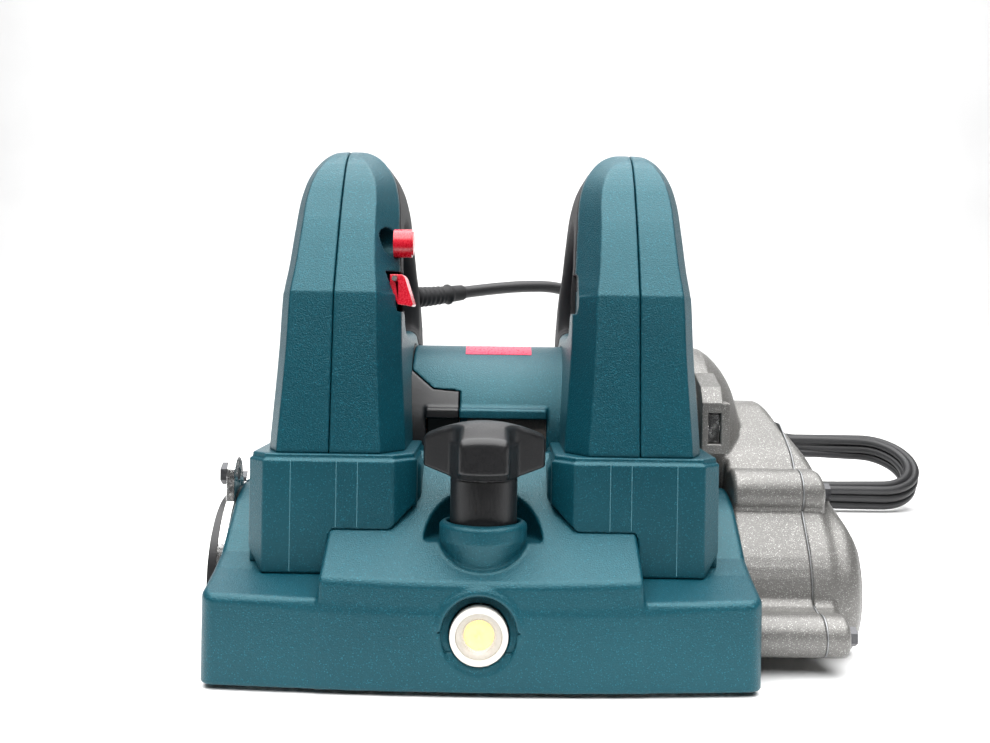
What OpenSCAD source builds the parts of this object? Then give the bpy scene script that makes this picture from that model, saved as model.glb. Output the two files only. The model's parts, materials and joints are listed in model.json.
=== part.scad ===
// Handheld twin-handle surface planer: a transverse cutter drum under a moulded
// cover, driven through an oil-filled gear case by a motor lying between two handles.
// Front is -Y, right is +X, the sole plane is Z = 0.

/* [Body] */
// Width of the front cover and of the sole
base_w = 250; // [244:1:254]
// Wall thickness of the moulded covers
wall = 3; // [2.4:0.1:3.4]
// Height of the drum axis above the sole, which is also the cutting radius
axis_z = 30; // [29.8:0.1:30.4]

/* [Handles] */
// Distance of each handle's centre from the middle plane
handle_x = 70; // [69:0.5:71]
// Thickness of the rubber overmoulding
rubber_t = 2.5; // [1.5:0.1:2.8]

/* [Motor] */
// Outer radius of the motor housing
motor_r = 50; // [49:0.2:50.4]

/* [Depth knob] */
// Overall width of the three-lobed knob
knob_w = 55; // [48:1:58]
// Pitch of the depth spindle's thread
spindle_pitch = 1.5; // [1:0.25:2]

/* [Gears] */
// Module of all three gears
gear_module = 1.5; // [1.5:0.1:1.5]
// Gear face width
gear_face = 12; // [9:0.5:13]

/* [Cord] */
// Diameter of the mains cord
cord_d = 7.6; // [7:0.1:8.2]

/* [Hidden] */

sy = 78;          // from the drum axis back to the origin at the middle of the rear shoe
hw = base_w / 2;
ped = [31.5, 109.5];
my = 45;          // motor axis behind the drum axis
mz = 100;         // motor axis height
teal = [0.06, 0.33, 0.38];
silver = [0.78, 0.78, 0.77];

// --- helpers -------------------------------------------------------------
module at_frame() { translate([0, -sy, 0]) children(); }
module xprism(x0, x1) { translate([x0, 0, 0]) rotate([90, 0, 90]) linear_extrude(x1 - x0) children(); }
module yprism(y0, y1) { translate([0, y1, 0]) rotate([90, 0, 0]) linear_extrude(y1 - y0) children(); }
module xcyl(x0, x1, y, z, r, fn = 64) { translate([x0, y, z]) rotate([0, 90, 0]) cylinder(h = x1 - x0, r = r, $fn = fn); }
module ycyl(y0, y1, x, z, r, fn = 64) { translate([x, y0, z]) rotate([-90, 0, 0]) cylinder(h = y1 - y0, r = r, $fn = fn); }
module box(x0, x1, y0, y1, z0, z1) { translate([x0, y0, z0]) cube([x1 - x0, y1 - y0, z1 - z0]); }

// --- cover outlines, seen from the side as [y, z] -----------------------
hump = [for (a = [124:-7:96]) [50 * cos(a), 30 + 50 * sin(a)]];
side_line = concat([[-95, 2], [-95, 38], [-92, 41], [-78, 44.5], [-65, 48], [-51.5, 53], [-42, 61]], hump, [[-6, 79.5], [-6, 2]]);
mid_line = [[-95, 2], [-95, 48], [-93, 50.5], [-70, 67], [-27, 99], [-22, 99], [-22, 2]];
mid_x = 71.5;
module cover_volume(g = 0) {
  intersection() {
    union() {
      xprism(-hw - g, hw + g) polygon(g == 0 ? side_line : [for (p = side_line) [p[0], p[1] + (p[1] > 2.5 ? g : 0)]]);
      xprism(-mid_x - g, mid_x + g) polygon(g == 0 ? mid_line : [for (p = mid_line) [p[0], p[1] + (p[1] > 2.5 ? g : 0)]]);
    }
    translate([0, 1305 - 95, -1]) cylinder(h = 120, r = 1305 + 0.001, $fn = 360);
  }
}
module cover_inside() {
  intersection() {
    union() {
      xprism(-hw + wall, hw - wall) polygon([for (p = side_line) [min(max(p[0] + wall, -95 + wall), p[0] > -10 ? 1 : 900), p[1] < 3 ? -1 : p[1] - wall - (p[0] < -40 ? 0.6 : 0)]]);
      xprism(-mid_x + wall, mid_x - wall) polygon([[-95 + wall, -1], [-95 + wall, 46.5], [-70, 62.8], [-28, 94.3], [-25, 94.3], [-25, -1]]);
    }
    translate([0, 1305 - 95 + wall, -2]) cylinder(h = 122, r = 1305, $fn = 360);
  }
}
led_x = -1; led_z = 26.5;
knob_y = -72;
module front_cover() {
  color(teal) difference() {
    union() {
      difference() { cover_volume(); cover_inside(); }
      // boss that carries the depth spindle
      difference() { translate([0, knob_y, 44]) cylinder(h = 29, r = 19.5, $fn = 64); box(-30, 30, -95.5, knob_y - 19.6, 40, 80); }
      // lamp pocket
      ycyl(-94, -84, led_x, led_z, 15.3);
      // mounting ears inside
      for (x = [-100, 100]) translate([x, -50, 20]) cylinder(h = 29, r = 5, $fn = 32);
    }
    translate([0, knob_y, 30]) cylinder(h = 60, r = 8.2, $fn = 48);
    translate([0, knob_y, 71]) cylinder(h = 14, r = 16.4, $fn = 48);
    ycyl(-97, -80, led_x, led_z, 14.2);
    // chassis side walls and hood sit inside
    for (s = [-1, 1]) box(s > 0 ? 113.6 : -125.6, s > 0 ? 125.6 : -113.6, -60.4, 0, -1, 46);
    xcyl(-114, 114, 0, axis_z, 37.6);
    for (s = [-1, 1]) xcyl(s > 0 ? 113 : -126, s > 0 ? 126 : -113, 0, axis_z, 46.6);
  }
}
rear_line = [[-5.6, 48.4], [-5.6, 79.4], [12, 79], [40, 72], [90, 57], [112, 52], [115.8, 48.4]];
module rear_cover() {
  color(teal) union() {
    rear_shell();
    for (m = [0, 1]) mirror([m, 0, 0]) intersection() { pedestal_body(); box(0, 130, 20, 120, 0, 120); }
  }
}
module rear_shell() {
  difference() {
    xprism(-hw, hw) polygon(rear_line);
    box(-130, 130, -7, -0.6, 40, 90);
    box(-hw + wall, hw - wall, -5.6 + wall, 112, 40, 49.5);
    xcyl(-104, 130, my, mz, motor_r + 1.4, 96);
    xcyl(102, 130, my, mz, 52.6, 96);
    for (s = [-1, 1]) box(s > 0 ? ped[0] - 0.3 : -ped[1] - 0.3, s > 0 ? ped[1] + 0.3 : -ped[0] + 0.3, -72, 20, 40, 110);
    xcyl(-hw - 1, hw + 1, 0, axis_z, 46.6);
    xcyl(-114, 114, 0, axis_z, 38);
  }
}

// --- cast base --------------------------------------------------------------
wall_line = [[-60, 10.2], [-60, 43], [-46, 44], [-38, 48], [34, 48], [34, 48], [116, 48], [116, 10.2]];
module chassis() {
  color([0.55, 0.56, 0.57]) difference() {
    union() {
      for (s = [-1, 1]) {
        xprism(s > 0 ? 114 : -125, s > 0 ? 125 : -114) polygon(wall_line);
        intersection() { xcyl(s > 0 ? 114 : -125, s > 0 ? 125 : -114, 0, axis_z, 46); box(-130, 130, -50, 50, 10.2, 100); }
      }
      // hood over the drum
      difference() { xcyl(-114, 114, 0, axis_z, 37); box(-115, 115, -40, 40, -10, 30); }
      box(-114, 114, 34, 116, 44, 48);
      box(-114, 114, 112, 116, 10.2, 48);
      box(-114, 114, 34, 38, 10.2, 48);
      ycyl(34, 114, 0, 29, 18.9);
    }
    xcyl(-113.9, 113.9, 0, axis_z, 31.6);
    // room for the motor housing and the neck of the gear case
    xcyl(-104, 104, my, mz, motor_r + 0.35, 128);
    xcyl(102, 127, my, mz, 51.3, 96);
    ycyl(20, 117, 0, 29, 17.2);
    for (s = [-1, 1]) xcyl(s > 0 ? 113 : -126, s > 0 ? 126 : -113, 0, axis_z, 17.5);
  }
}
module rear_shoe() {
  color(silver) difference() {
    box(-hw + 1, hw - 1, 36, 120, 0, 10);
    for (x = [-95, 95]) for (y = [55, 100]) translate([x, y, -1]) cylinder(h = 12, r = 2.6, $fn = 32);
  }
}
module front_shoe() {
  color(silver) {
    difference() {
      union() {
        box(-112, 112, -83.6, -34.5, 0, 8);
        translate([0, knob_y, 8]) cylinder(h = 14, r = 11.5, $fn = 48);
      }
      translate([0, knob_y, 6]) cylinder(h = 20, r = 5.05, $fn = 48);
    }
  }
}

// --- lamp -----------------------------------------------------------------
module led_bezel() {
  color([0.9, 0.88, 0.84]) difference() {
    union() { ycyl(-95.5, -84, led_x, led_z, 13.2); ycyl(-96.3, -95.2, led_x, led_z, 13.8); }
    ycyl(-97, -80, led_x, led_z, 10.2);
  }
}
module led_lens() { color([0.95, 0.95, 0.9]) ycyl(-95.4, -93.4, led_x, led_z, 10.1); }
module led_chip() { color([1, 0.88, 0.15]) { ycyl(-93.2, -91.8, led_x, led_z, 7.4); ycyl(-91.8, -86, led_x, led_z, 10.1); } }

// --- depth setting --------------------------------------------------------
module depth_knob() {
  color([0.07, 0.07, 0.08]) difference() {
    union() {
      translate([0, knob_y, 72]) cylinder(h = 40, r = 15.3, $fn = 64);
      for (a = [270, 30, 150]) translate([0, knob_y, 94]) rotate([0, 0, a]) hull() {
        cylinder(h = 20, r = 14, $fn = 32);
        translate([knob_w / 2 - 10, 0, 0]) cylinder(h = 18, r = 10, $fn = 32);
      }
      translate([0, knob_y, 112.8]) scale([1, 1, 1]) cylinder(h = 5.5, r1 = 15.5, r2 = 12, $fn = 64);
    }
    translate([0, knob_y, 70]) cylinder(h = 30, r = 5, $fn = 48);
  }
}
module depth_spindle() {
  color([0.62, 0.62, 0.6]) { translate([0, knob_y, 10]) cylinder(h = 90, r = 5, $fn = 48); translate([0, knob_y, 45]) cylinder(h = 3, r = 7.6, $fn = 48); }
}
// compression spring between the shoe and the cover, turns computed from its rise
function coil(n, r, z0, z1, k) = [for (i = [0:n * k]) let (a = 360 * i / k, t = i / (n * k)) [r * cos(a), r * sin(a), z0 + (z1 - z0) * t]];
module tube(pts, d, ns) {
  n = len(pts);
  dirs = [for (i = [0:n - 1]) let (a = pts[max(i - 1, 0)], b = pts[min(i + 1, n - 1)], v = b - a) v / norm(v)];
  rings = [for (i = [0:n - 1]) let (u = dirs[i], s = abs(u[2]) > 0.93 ? [1, 0, 0] : [0, 0, 1], e1 = cross(u, s) / norm(cross(u, s)), e2 = cross(u, e1))
    for (k = [0:ns - 1]) pts[i] + d / 2 * (cos(360 * k / ns) * e1 + sin(360 * k / ns) * e2)];
  polyhedron(points = rings, faces = concat(
    [[for (k = [0:ns - 1]) k]],
    [for (i = [0:n - 2]) for (k = [0:ns - 1]) [i * ns + k, (i + 1) * ns + k, (i + 1) * ns + (k + 1) % ns, i * ns + (k + 1) % ns]],
    [[for (k = [ns - 1:-1:0]) (n - 1) * ns + k]]), convexity = 10);
}
module depth_spring() { color([0.5, 0.5, 0.52]) translate([0, knob_y, 0]) tube(coil(4, 9.6, 23.5, 43.5, 16), 1.6, 6); }

// --- pedestals and handles ------------------------------------------------
module ped_plan() { c = 8; d = 10; polygon([[ped[0] + d, -70], [ped[1] - c, -70], [ped[1], -70 + c], [ped[1], 100], [ped[1] - c, 108], [ped[0] + c, 108], [ped[0], 100], [ped[0], -70 + d]]); }
module ped_inner_plan() { w = 3.4; polygon([[ped[0] + 10 + w / 2, -70 + w], [ped[1] - 8 - w / 2, -70 + w], [ped[1] - w, -70 + 8 + w / 2], [ped[1] - w, 100], [ped[1] - 8, 108 - w], [ped[0] + 8, 108 - w], [ped[0] + w, 100], [ped[0] + w, -60 + w / 2]]); }
module pedestal() { color(teal) intersection() { pedestal_body(); box(0, 130, -80, 20, 0, 120); } }
module pedestal_body() {
  difference() {
    translate([0, 0, 30]) linear_extrude(72) ped_plan();
    translate([0, 0, 20]) linear_extrude(78.5) ped_inner_plan();
    cover_volume(0.25);
    box(20, 120, -6.3, 112, 20, 48.3);
    xcyl(20, 120, my, mz, motor_r + 0.7, 96);
    xcyl(103, 120, my, mz, 51.9, 96);
    box(20, 120, -22.5, 112, 20, 48.3);
    xcyl(20, 120, 0, axis_z, 50.4);
  }
}
module right_pedestal() pedestal();
module left_pedestal() mirror([1, 0, 0]) pedestal();

// half widths of the handle at each height
front_half = [[32.4, 102], [30.8, 126], [29.3, 149], [28.6, 177], [27, 189.7], [26.4, 202.4], [25.5, 215.8], [25, 223], [23.8, 229.9], [22.2, 236.2], [18.7, 243.7], [12.8, 250.4], [5, 253.5]];
side_loop = [[-67, 102], [-59, 177], [-45, 209.8], [-38, 222.5], [-30, 236.2], [-19, 248.9], [-4, 254.2], [14, 254.2], [46, 243.7], [76, 222.5], [96, 197.1], [104, 172], [106, 150], [106, 102]];
eye = [[-22, 157], [-22, 178], [-8, 204], [8, 215], [28, 214], [50, 202], [64, 184], [68, 166], [66, 157]];
module front_2d() polygon(concat([for (p = front_half) [handle_x + p[0], p[1]]], [for (i = [len(front_half) - 1:-1:0]) [handle_x - front_half[i][0], front_half[i][1]]]));
module handle_plan() { c = 6; polygon([[handle_x - 33 + 10, -70], [handle_x + 33 - c, -70], [handle_x + 33, -54], [handle_x + 33, 94], [handle_x + 24, 107], [handle_x - 24, 107], [handle_x - 33, 94], [handle_x - 33, -52]]); }
module handle_volume(i = 0) {
  intersection() {
    yprism(-70, 108) offset(delta = -i) front_2d();
    xprism(30, 110) offset(delta = -i) polygon(side_loop);
    translate([0, 0, 101.99]) linear_extrude(150) offset(delta = -i) handle_plan();
  }
}
module eye_volume(i = 0) { xprism(30, 110) offset(delta = i) polygon(eye); }
grip_zone = [[-44.5, 170], [-43, 184], [-31.5, 209], [-24.5, 223], [-15, 237], [-4, 246], [12, 250.5], [30, 266], [60, 264], [120, 224], [120, 140], [80, 150], [60, 150], [50, 170]];
module handle_body() {
  difference() {
    union() {
      difference() { handle_volume(0); xprism(30, 110) polygon(grip_zone); eye_volume(0); }
      difference() { handle_volume(rubber_t); eye_volume(rubber_t); }
    }
    for (p = screw_at) xcyl(62, 110, p[0], p[1], 2.1, 24);
    difference() { handle_volume(rubber_t + 3.2); eye_volume(rubber_t + 3.2); for (p = screw_at) xcyl(30, 110, p[0], p[1], 5, 32); box(66, 78, -20, -12, 205, 260); }
    xcyl(20, 120, my, mz, motor_r + 0.7, 96);
    box(30, 110, my - 30, my + 30, 96, mz + 6);
  }
}
screw_at = [[-54, 118], [97, 118], [-48, 158], [94, 168]];
seam_x = 72;
trig_y = [-46, -26];
trig_z = [170.5, 186];
lock_c = [-36, 201.5];
module handle_inner(has_switch) {
  difference() {
    intersection() { handle_body(); box(20, seam_x, -80, 120, 90, 260); }
    if (has_switch) box(20, 58, trig_y[0] - 0.8, trig_y[1] + 0.8, trig_z[0] - 2.4, trig_z[1] + 1.5);
    if (has_switch) xcyl(20, 58, lock_c[0], lock_c[1], 7.6, 48);
    if (has_switch) ycyl(trig_y[0] - 3.6, trig_y[1] + 3.6, -pin_x, pin_z, 1.3, 32);
    if (has_switch) relief_hole();
  }
}
// the cord's strain relief passes through the inner half of the left handle
module relief_hole() { translate([50, 78.1, 177.1]) rotate([0, 84.58, 139.92]) cylinder(h = 40, r = 6.2, $fn = 48); }
module handle_outer() { intersection() { handle_body(); box(seam_x, 120, -80, 120, 90, 260); } }
module grip(cut) {
  difference() {
    intersection() {
      difference() { difference() { handle_volume(0); eye_volume(0); } difference() { handle_volume(rubber_t); eye_volume(rubber_t); } }
      xprism(30, 110) polygon(grip_zone);
    }
    if (cut) box(20, 58, trig_y[0] - 0.8, trig_y[1] + 0.8, trig_z[0] - 2.4, trig_z[1] + 1.5);
    if (cut) xcyl(20, 58, lock_c[0], lock_c[1], 7.6, 48);
    if (cut) ycyl(trig_y[0] - 3.6, trig_y[1] + 3.6, -pin_x, pin_z, 1.3, 32);
    if (cut) relief_hole();
  }
}
module right_handle_inner_shell() color(teal) handle_inner(false);
module right_handle_outer_shell() color(teal) handle_outer();
module left_handle_inner_shell() color(teal) mirror([1, 0, 0]) handle_inner(true);
module left_handle_outer_shell() color(teal) mirror([1, 0, 0]) handle_outer();
module right_grip() color([0.1, 0.1, 0.11]) grip(false);
module left_grip() color([0.1, 0.1, 0.11]) mirror([1, 0, 0]) grip(true);
module handle_screws() {
  color([0.3, 0.3, 0.3]) for (s = [-1, 1]) for (p = screw_at)
    xcyl(s > 0 ? 63 : -92, s > 0 ? 92 : -63, p[0], p[1], 2, 24);
}
// thumb switch on the inner flank of the left handle
pin_x = -44.5; pin_z = 184;
module trigger() {
  color([0.85, 0.05, 0.1]) difference() {
    union() {
      yprism(trig_y[0], trig_y[1]) polygon([[-47, 186], [-41, 186], [-39.8, 184.5], [-35.6, 171.5], [-36.4, 170.6], [-43, 171.5], [-47, 180]]);
    }
    ycyl(trig_y[0] - 1, trig_y[1] + 1, pin_x, pin_z, 1.3, 32);
  }
}
module trigger_pin() { color([0.6, 0.6, 0.6]) ycyl(trig_y[0] - 3.5, trig_y[1] + 3.5, pin_x, pin_z, 1.25, 32); }
module lock_button() { color([0.85, 0.05, 0.1]) { xcyl(-46, -37.2, lock_c[0], lock_c[1], 6.9, 48); xcyl(-37.2, -36.4, lock_c[0], lock_c[1], 5.8, 48); } }
module switch_body() { color([0.15, 0.15, 0.16]) box(-68, -52, -43, -28.3, 168, 196); }

// --- motor ------------------------------------------------------------------
seam_motor = -14;
module motor_housing() {
  color(teal) difference() {
    union() {
      xcyl(seam_motor, 103.3, my, mz, motor_r, 128);
      // lip along the front of the housing
      difference() { box(seam_motor, 31.2, my - 53, my - 30, 113, 119.5); xcyl(-20, 40, my, mz, motor_r - 2, 96); }
      box(seam_motor, 31.2, my - 53.5, my - 46, 113, 117);
    }
    xcyl(seam_motor - 1, 104, my, mz, motor_r - 3.5, 128);
  }
}
module motor_end_cover() {
  color([0.12, 0.12, 0.13]) difference() {
    union() {
      xcyl(-99, seam_motor - 0.2, my, mz, motor_r, 128);
      box(-31.2, seam_motor - 0.2, my - 53.5, my - 46, 113, 117);
    }
    difference() {
      xcyl(-96, seam_motor + 1, my, mz, motor_r - 3.5, 128);
      // seat of the rear motor bearing
      difference() { xcyl(-97, -83, my, mz, 20, 64); xcyl(-93.2, -82, my, mz, 16.02, 64); }
    }
  }
}
module motor_stripe() {
  color([0.8, 0.1, 0.2]) intersection() {
    difference() { xcyl(-12, 24, my, mz, motor_r + 0.25, 128); xcyl(-13, 25, my, mz, motor_r, 128); }
    box(-13, 25, my - 20, my - 5, 120, 160);
  }
}
module stator() {
  color([0.5, 0.42, 0.35]) difference() {
    union() { xcyl(-10, 50, my, mz, motor_r - 3.6, 96); xcyl(-22, 62, my, mz, 38, 64); }
    xcyl(-30, 70, my, mz, 26, 64);
  }
}
module armature_shaft() { color([0.75, 0.75, 0.76]) xcyl(-93, 130, my, mz, 5.97, 48);
  color([0.75, 0.75, 0.76]) xcyl(130, 149, my, mz, 5, 48); }
module armature_core() {
  color([0.45, 0.42, 0.4]) difference() {
    union() { xcyl(-10, 50, my, mz, 25.2, 64); xcyl(-18, 58, my, mz, 20, 48); }
    xcyl(-30, 70, my, mz, 5.98, 48);
  }
}
module commutator() {
  color([0.75, 0.45, 0.25]) difference() { xcyl(-52, -26, my, mz, 16, 48); xcyl(-60, -20, my, mz, 5.98, 48); }
}
module cooling_fan() {
  color([0.2, 0.2, 0.22]) difference() {
    union() {
      xcyl(70, 74, my, mz, 40, 64);
      xcyl(70, 84, my, mz, 11, 48);
      for (a = [0:30:330]) translate([74, my, mz]) rotate([a, 0, 0]) translate([0, 10, -1]) cube([9, 29, 2]);
    }
    xcyl(60, 90, my, mz, 5.98, 48);
  }
}
// a bearing is one solid: two rings joined by a thin cage disc
module bearing(x0, y, z, ri, ro, w) {
  difference() { xcyl(x0, x0 + w, y, z, ro, 64); xcyl(x0 - 1, x0 + w + 1, y, z, ri, 64);
    for (e = [[x0 - 1, x0 + 1], [x0 + w - 1, x0 + w + 1]]) difference() { xcyl(e[0], e[1], y, z, ri + (ro - ri) * 0.68, 64); xcyl(e[0] - 1, e[1] + 1, y, z, ri + (ro - ri) * 0.32, 64); } }
}
module motor_bearings() { color([0.7, 0.7, 0.72]) { bearing(-92, my, mz, 6, 16, 10); bearing(108, my, mz, 6, 18.5, 12); } }
module carbon_brushes() { color([0.2, 0.2, 0.2]) for (s = [-1, 1]) box(-45, -33, my + (s > 0 ? 16.3 : -40), my + (s > 0 ? 40 : -16.3), mz - 4, mz + 4); }

// --- gears ------------------------------------------------------------------
function inv_pt(rb, t) = rb * sqrt(1 + t * t);
function inv_an(t) = t * 180 / PI - atan(t);
pa = 25;
module gear_2d(n, m, phase, bore) {
  r = n * m / 2; rb = r * cos(pa); ra = r + m * 0.95; rf = r - 1.2 * m;
  tp = tan(pa); half = 90 / n - 0.55 * 180 / (PI * r) * 0.12;
  h0 = half + inv_an(tp);
  ta = sqrt((ra / rb) * (ra / rb) - 1); t0 = rf > rb ? sqrt((rf / rb) * (rf / rb) - 1) : 0;
  k = 5;
  fl = [for (i = [0:k]) let (t = t0 + (ta - t0) * i / k) [inv_pt(rb, t), h0 - inv_an(t)]];
  difference() {
    polygon([for (j = [0:n - 1]) for (q = concat([[min(rf, rb), -fl[0][1] - 0.4]], [for (p = fl) [p[0], -p[1]]], [for (i = [k:-1:0]) fl[i]], [[min(rf, rb), fl[0][1] + 0.4]])) let (a = phase + j * 360 / n + q[1]) [q[0] * cos(a), q[0] * sin(a)]]);
    circle(r = bore, $fn = 48);
  }
}
dist_dm = norm([my, mz - axis_z]);
c1 = 48 * gear_module / 1.5; c2 = 36 * gear_module / 1.5;
ia = (c1 * c1 - c2 * c2 + dist_dm * dist_dm) / (2 * dist_dm);
ih = sqrt(c1 * c1 - ia * ia);
um = [my, mz - axis_z] / dist_dm;
iy = um[0] * ia - um[1] * ih;
iz = axis_z + um[1] * ia + um[0] * ih;
ang_di = atan2(iz - axis_z, iy);
ang_ip = atan2(mz - iz, my - iy);
idler_tooth = ang_di + 180;
pitch_i = 360 / 32;
k_near = round((ang_ip - idler_tooth) / pitch_i);
eps = idler_tooth + k_near * pitch_i - ang_ip;
gx = 134;
module drum_gear() { color([0.6, 0.58, 0.5]) { translate([gx, 0, axis_z]) rotate([90, 0, 90]) linear_extrude(gear_face) gear_2d(32, gear_module, ang_di + 360 / 64, 7.01); } }
module idler_gear() { color([0.6, 0.58, 0.5]) { translate([gx, iy, iz]) rotate([90, 0, 90]) linear_extrude(gear_face) gear_2d(32, gear_module, idler_tooth, 5.01); } }
module pinion_teeth() { translate([gx, my, mz]) rotate([90, 0, 90]) linear_extrude(gear_face) gear_2d(16, gear_module, ang_ip + 180 - 2 * eps + 360 / 32, 4.8); }
module idler_shaft() { color([0.72, 0.72, 0.74]) xcyl(127, 168, iy, iz, 5, 48); }
module idler_bearings() { color([0.7, 0.7, 0.72]) { bearing(126.4, iy, iz, 5.03, 13, 7); bearing(160.2, iy, iz, 5.03, 13, 8); } }

// --- gear case --------------------------------------------------------------
module case_2d(i = 0) {
  difference() {
    union() {
      hull() { translate([0, 30]) circle(r = 41 - i, $fn = 72); translate([52, 92]) circle(r = 29 - i, $fn = 48); translate([88, 88]) circle(r = 30 - i, $fn = 48); translate([76, 34]) circle(r = 30 - i, $fn = 48); translate([iy, iz]) circle(r = 30.6 - i, $fn = 48); }
      if (i == 0) for (p = case_bosses) translate([p[0], p[1]]) circle(r = p[2], $fn = 32);
      if (i == 0) hull() { translate([-56, 18]) circle(r = 7, $fn = 32); translate([-20, 24]) circle(r = 10, $fn = 32); }
    }
    translate([-120, -60]) square([300, 62 + min(i, 1.8)]);
  }
}
case_bosses = [[-56, 18, 10], [-12, 79, 11.5], [112, 20, 9], [119, 60, 9]];
module case_holes(r, x0, x1) { for (p = case_bosses) xcyl(x0, x1, p[0], p[1], r, 32); }
// the upper outer corner of the case is cut away on a slope
module top_slope(k = 0) { translate([154 - k, 0, 122]) rotate([0, -27.5, 0]) translate([0, -100, -58]) cube([60, 300, 200]); }
module gear_case_inner() {
  color(silver) difference() {
    union() {
      xprism(125.2, 160) case_2d(0);
      xcyl(103.6, 118.1, my, mz, 51, 96);
      // domed shoulder between the motor neck and the case
      translate([118, my, mz]) rotate([0, 90, 0]) cylinder(h = 8, r1 = 51, r2 = 44, $fn = 96);
      translate([125.9, my, mz]) rotate([0, 90, 0]) cylinder(h = 7, r1 = 44, r2 = 35, $fn = 96);
      translate([132.8, my, mz]) rotate([0, 90, 0]) cylinder(h = 4, r1 = 35, r2 = 25, $fn = 96);
    }
    difference() { xprism(129.2, 161) case_2d(4); top_slope(5); }
    top_slope(0);
    case_holes(2.5, 126.5, 162);
    xcyl(100, 108, my, mz, 46, 64);
    xcyl(107, 120, my, mz, 18.52, 64);
    xcyl(119, 130, my, mz, 7, 48);
    xcyl(124, 131, 0, axis_z, 10, 48);
    xcyl(126.2, 134, iy, iz, 13.02, 48);
    box(100, 130, -10, 100, -10, 49);
    box(100, 125.1, -70, 200, 0, 48.6);
  }
}
module gear_case_gasket() { color([0.1, 0.1, 0.1]) difference() { xprism(160, 160.6) case_2d(0); top_slope(0); difference() { xprism(159, 162) case_2d(4); top_slope(5); } case_holes(2.5, 158, 163); } }
module gear_case_cover() {
  color(silver) difference() {
    union() {
      xprism(160.6, 172) case_2d(0);
      intersection() { xprism(172, 180) case_2d(6); box(160, 190, -60, 96, 2, 128); }
      translate([171.9, 0, axis_z]) rotate([0, 90, 0]) cylinder(h = 14.5, r1 = 40, r2 = 36, $fn = 72);
    }
    difference() {
      xprism(159, 168) case_2d(4);
      top_slope(5);
      // boss round the outer idler bearing
      xcyl(156, 169, iy, iz, 17, 48);
    }
    case_holes(2.5, 158, 180);
    xcyl(166, 184, 0, axis_z, 23, 64);
    top_slope(0);
    xcyl(153, 168.5, iy, iz, 13.02, 48);
    box(150, 200, -60, 130, -40, 2);
  }
}
module gear_case_bolts() { color([0.6, 0.6, 0.6]) for (p = case_bosses) { xcyl(131, 172.2, p[0], p[1], 2.4, 32); xcyl(172.2, 176, p[0], p[1], 4.6, 6); } }
module neck_bracket() {
  color(silver) difference() {
    union() { box(110.2, 124.6, -14, 6, 98, 124); xprism(110.2, 121) polygon([[-14, 124], [-8, 132], [16, 140], [16, 124]]); }
    xcyl(100, 130, my, mz, 51.4, 96);
    box(113.5, 120, -16, 8, 103, 119);
  }
}
module bracket_bolt() { color([0.85, 0.85, 0.86]) { box(114, 119.5, -12, -8, 104, 118); xcyl(113.7, 119.8, -10, 111, 2, 24); } }

// --- drum -------------------------------------------------------------------
blade_r = axis_z - 0.15;
module slot_2d() { for (a = [90, 270]) rotate([0, 0, a]) translate([14, -4]) square([20, 9]); }
module drum_body() {
  color([0.4, 0.4, 0.42]) {
    translate([0, 0, axis_z]) difference() {
      xprism(-108, 108) difference() { circle(r = 27, $fn = 96); slot_2d(); }
      for (a = [0, 180]) rotate([a, 0, 0]) for (x = [-84:28:84]) translate([x, 0, 6]) cylinder(h = 9, r = 2.55, $fn = 24);
    }
    xcyl(-127, -107.9, 0, axis_z, 7.47, 48);
    xcyl(107.9, 127, 0, axis_z, 7.47, 48);
    xcyl(126.9, 152, 0, axis_z, 7, 48);
  }
}
module blade_2d() { polygon([[15, -3.9], [blade_r - 2.4, -3.9], [blade_r - 0.5, -3.2], [blade_r - 1.6, -0.9], [15, -0.9]]); }
module blades() { color([0.85, 0.86, 0.88]) translate([0, 0, axis_z]) xprism(-107, 107) for (a = [90, 270]) rotate([0, 0, a]) blade_2d(); }
module blade_clamps() {
  color([0.3, 0.3, 0.32]) translate([0, 0, axis_z]) difference() {
    xprism(-106, 106) for (a = [90, 270]) rotate([0, 0, a]) polygon([[14.05, -0.85], [25.5, -0.85], [24, 4.9], [14.05, 4.9]]);
    for (a = [0, 180]) rotate([a, 0, 0]) for (x = [-84:28:84]) translate([x, -2.1, 10]) cylinder(h = 30, r = 2.6, $fn = 24);
  }
}
module blade_screws() { color([0.2, 0.2, 0.2]) translate([0, 0, axis_z]) for (a = [0, 180]) rotate([a, 0, 0]) for (x = [-84:28:84]) translate([x, -2.1, 14.2]) cylinder(h = 8.5, r = 2.4, $fn = 24); }
module drum_bearings() { color([0.7, 0.7, 0.72]) { bearing(-125, 0, axis_z, 7.5, 17.45, 10.9); bearing(114.1, 0, axis_z, 7.5, 17.45, 10.9); } }

// --- left side and rear ----------------------------------------------------
guard_bolt_at = [[-14, 84.5], [30, 74]];
module left_side_plate() {
  color([0.85, 0.85, 0.86]) difference() {
    union() {
      intersection() { xcyl(-130, -125.6, 0, axis_z + 6, 42, 72); box(-140, 0, -60, 60, 3, 90); }
      // lugs that carry the two guard bolts
      xprism(-130, -125.6) for (p = guard_bolt_at) hull() { translate(p) circle(r = 8.5, $fn = 32); translate([p[0] * 0.6, 52]) circle(r = 14, $fn = 32); }
    }
    xcyl(-131, -120, 0, axis_z, 9, 48);
    for (p = guard_bolt_at) xcyl(-131, -120, p[0], p[1], 3.05, 32);
  }
}
module side_guard() { color([0.09, 0.09, 0.1]) intersection() { union() { xcyl(-135, -130.1, 0, axis_z + 3, 38.5, 72); xcyl(-136.2, -134.9, 0, axis_z + 3, 33, 72); } box(-140, 0, -60, 60, 2, 90); } }
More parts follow.
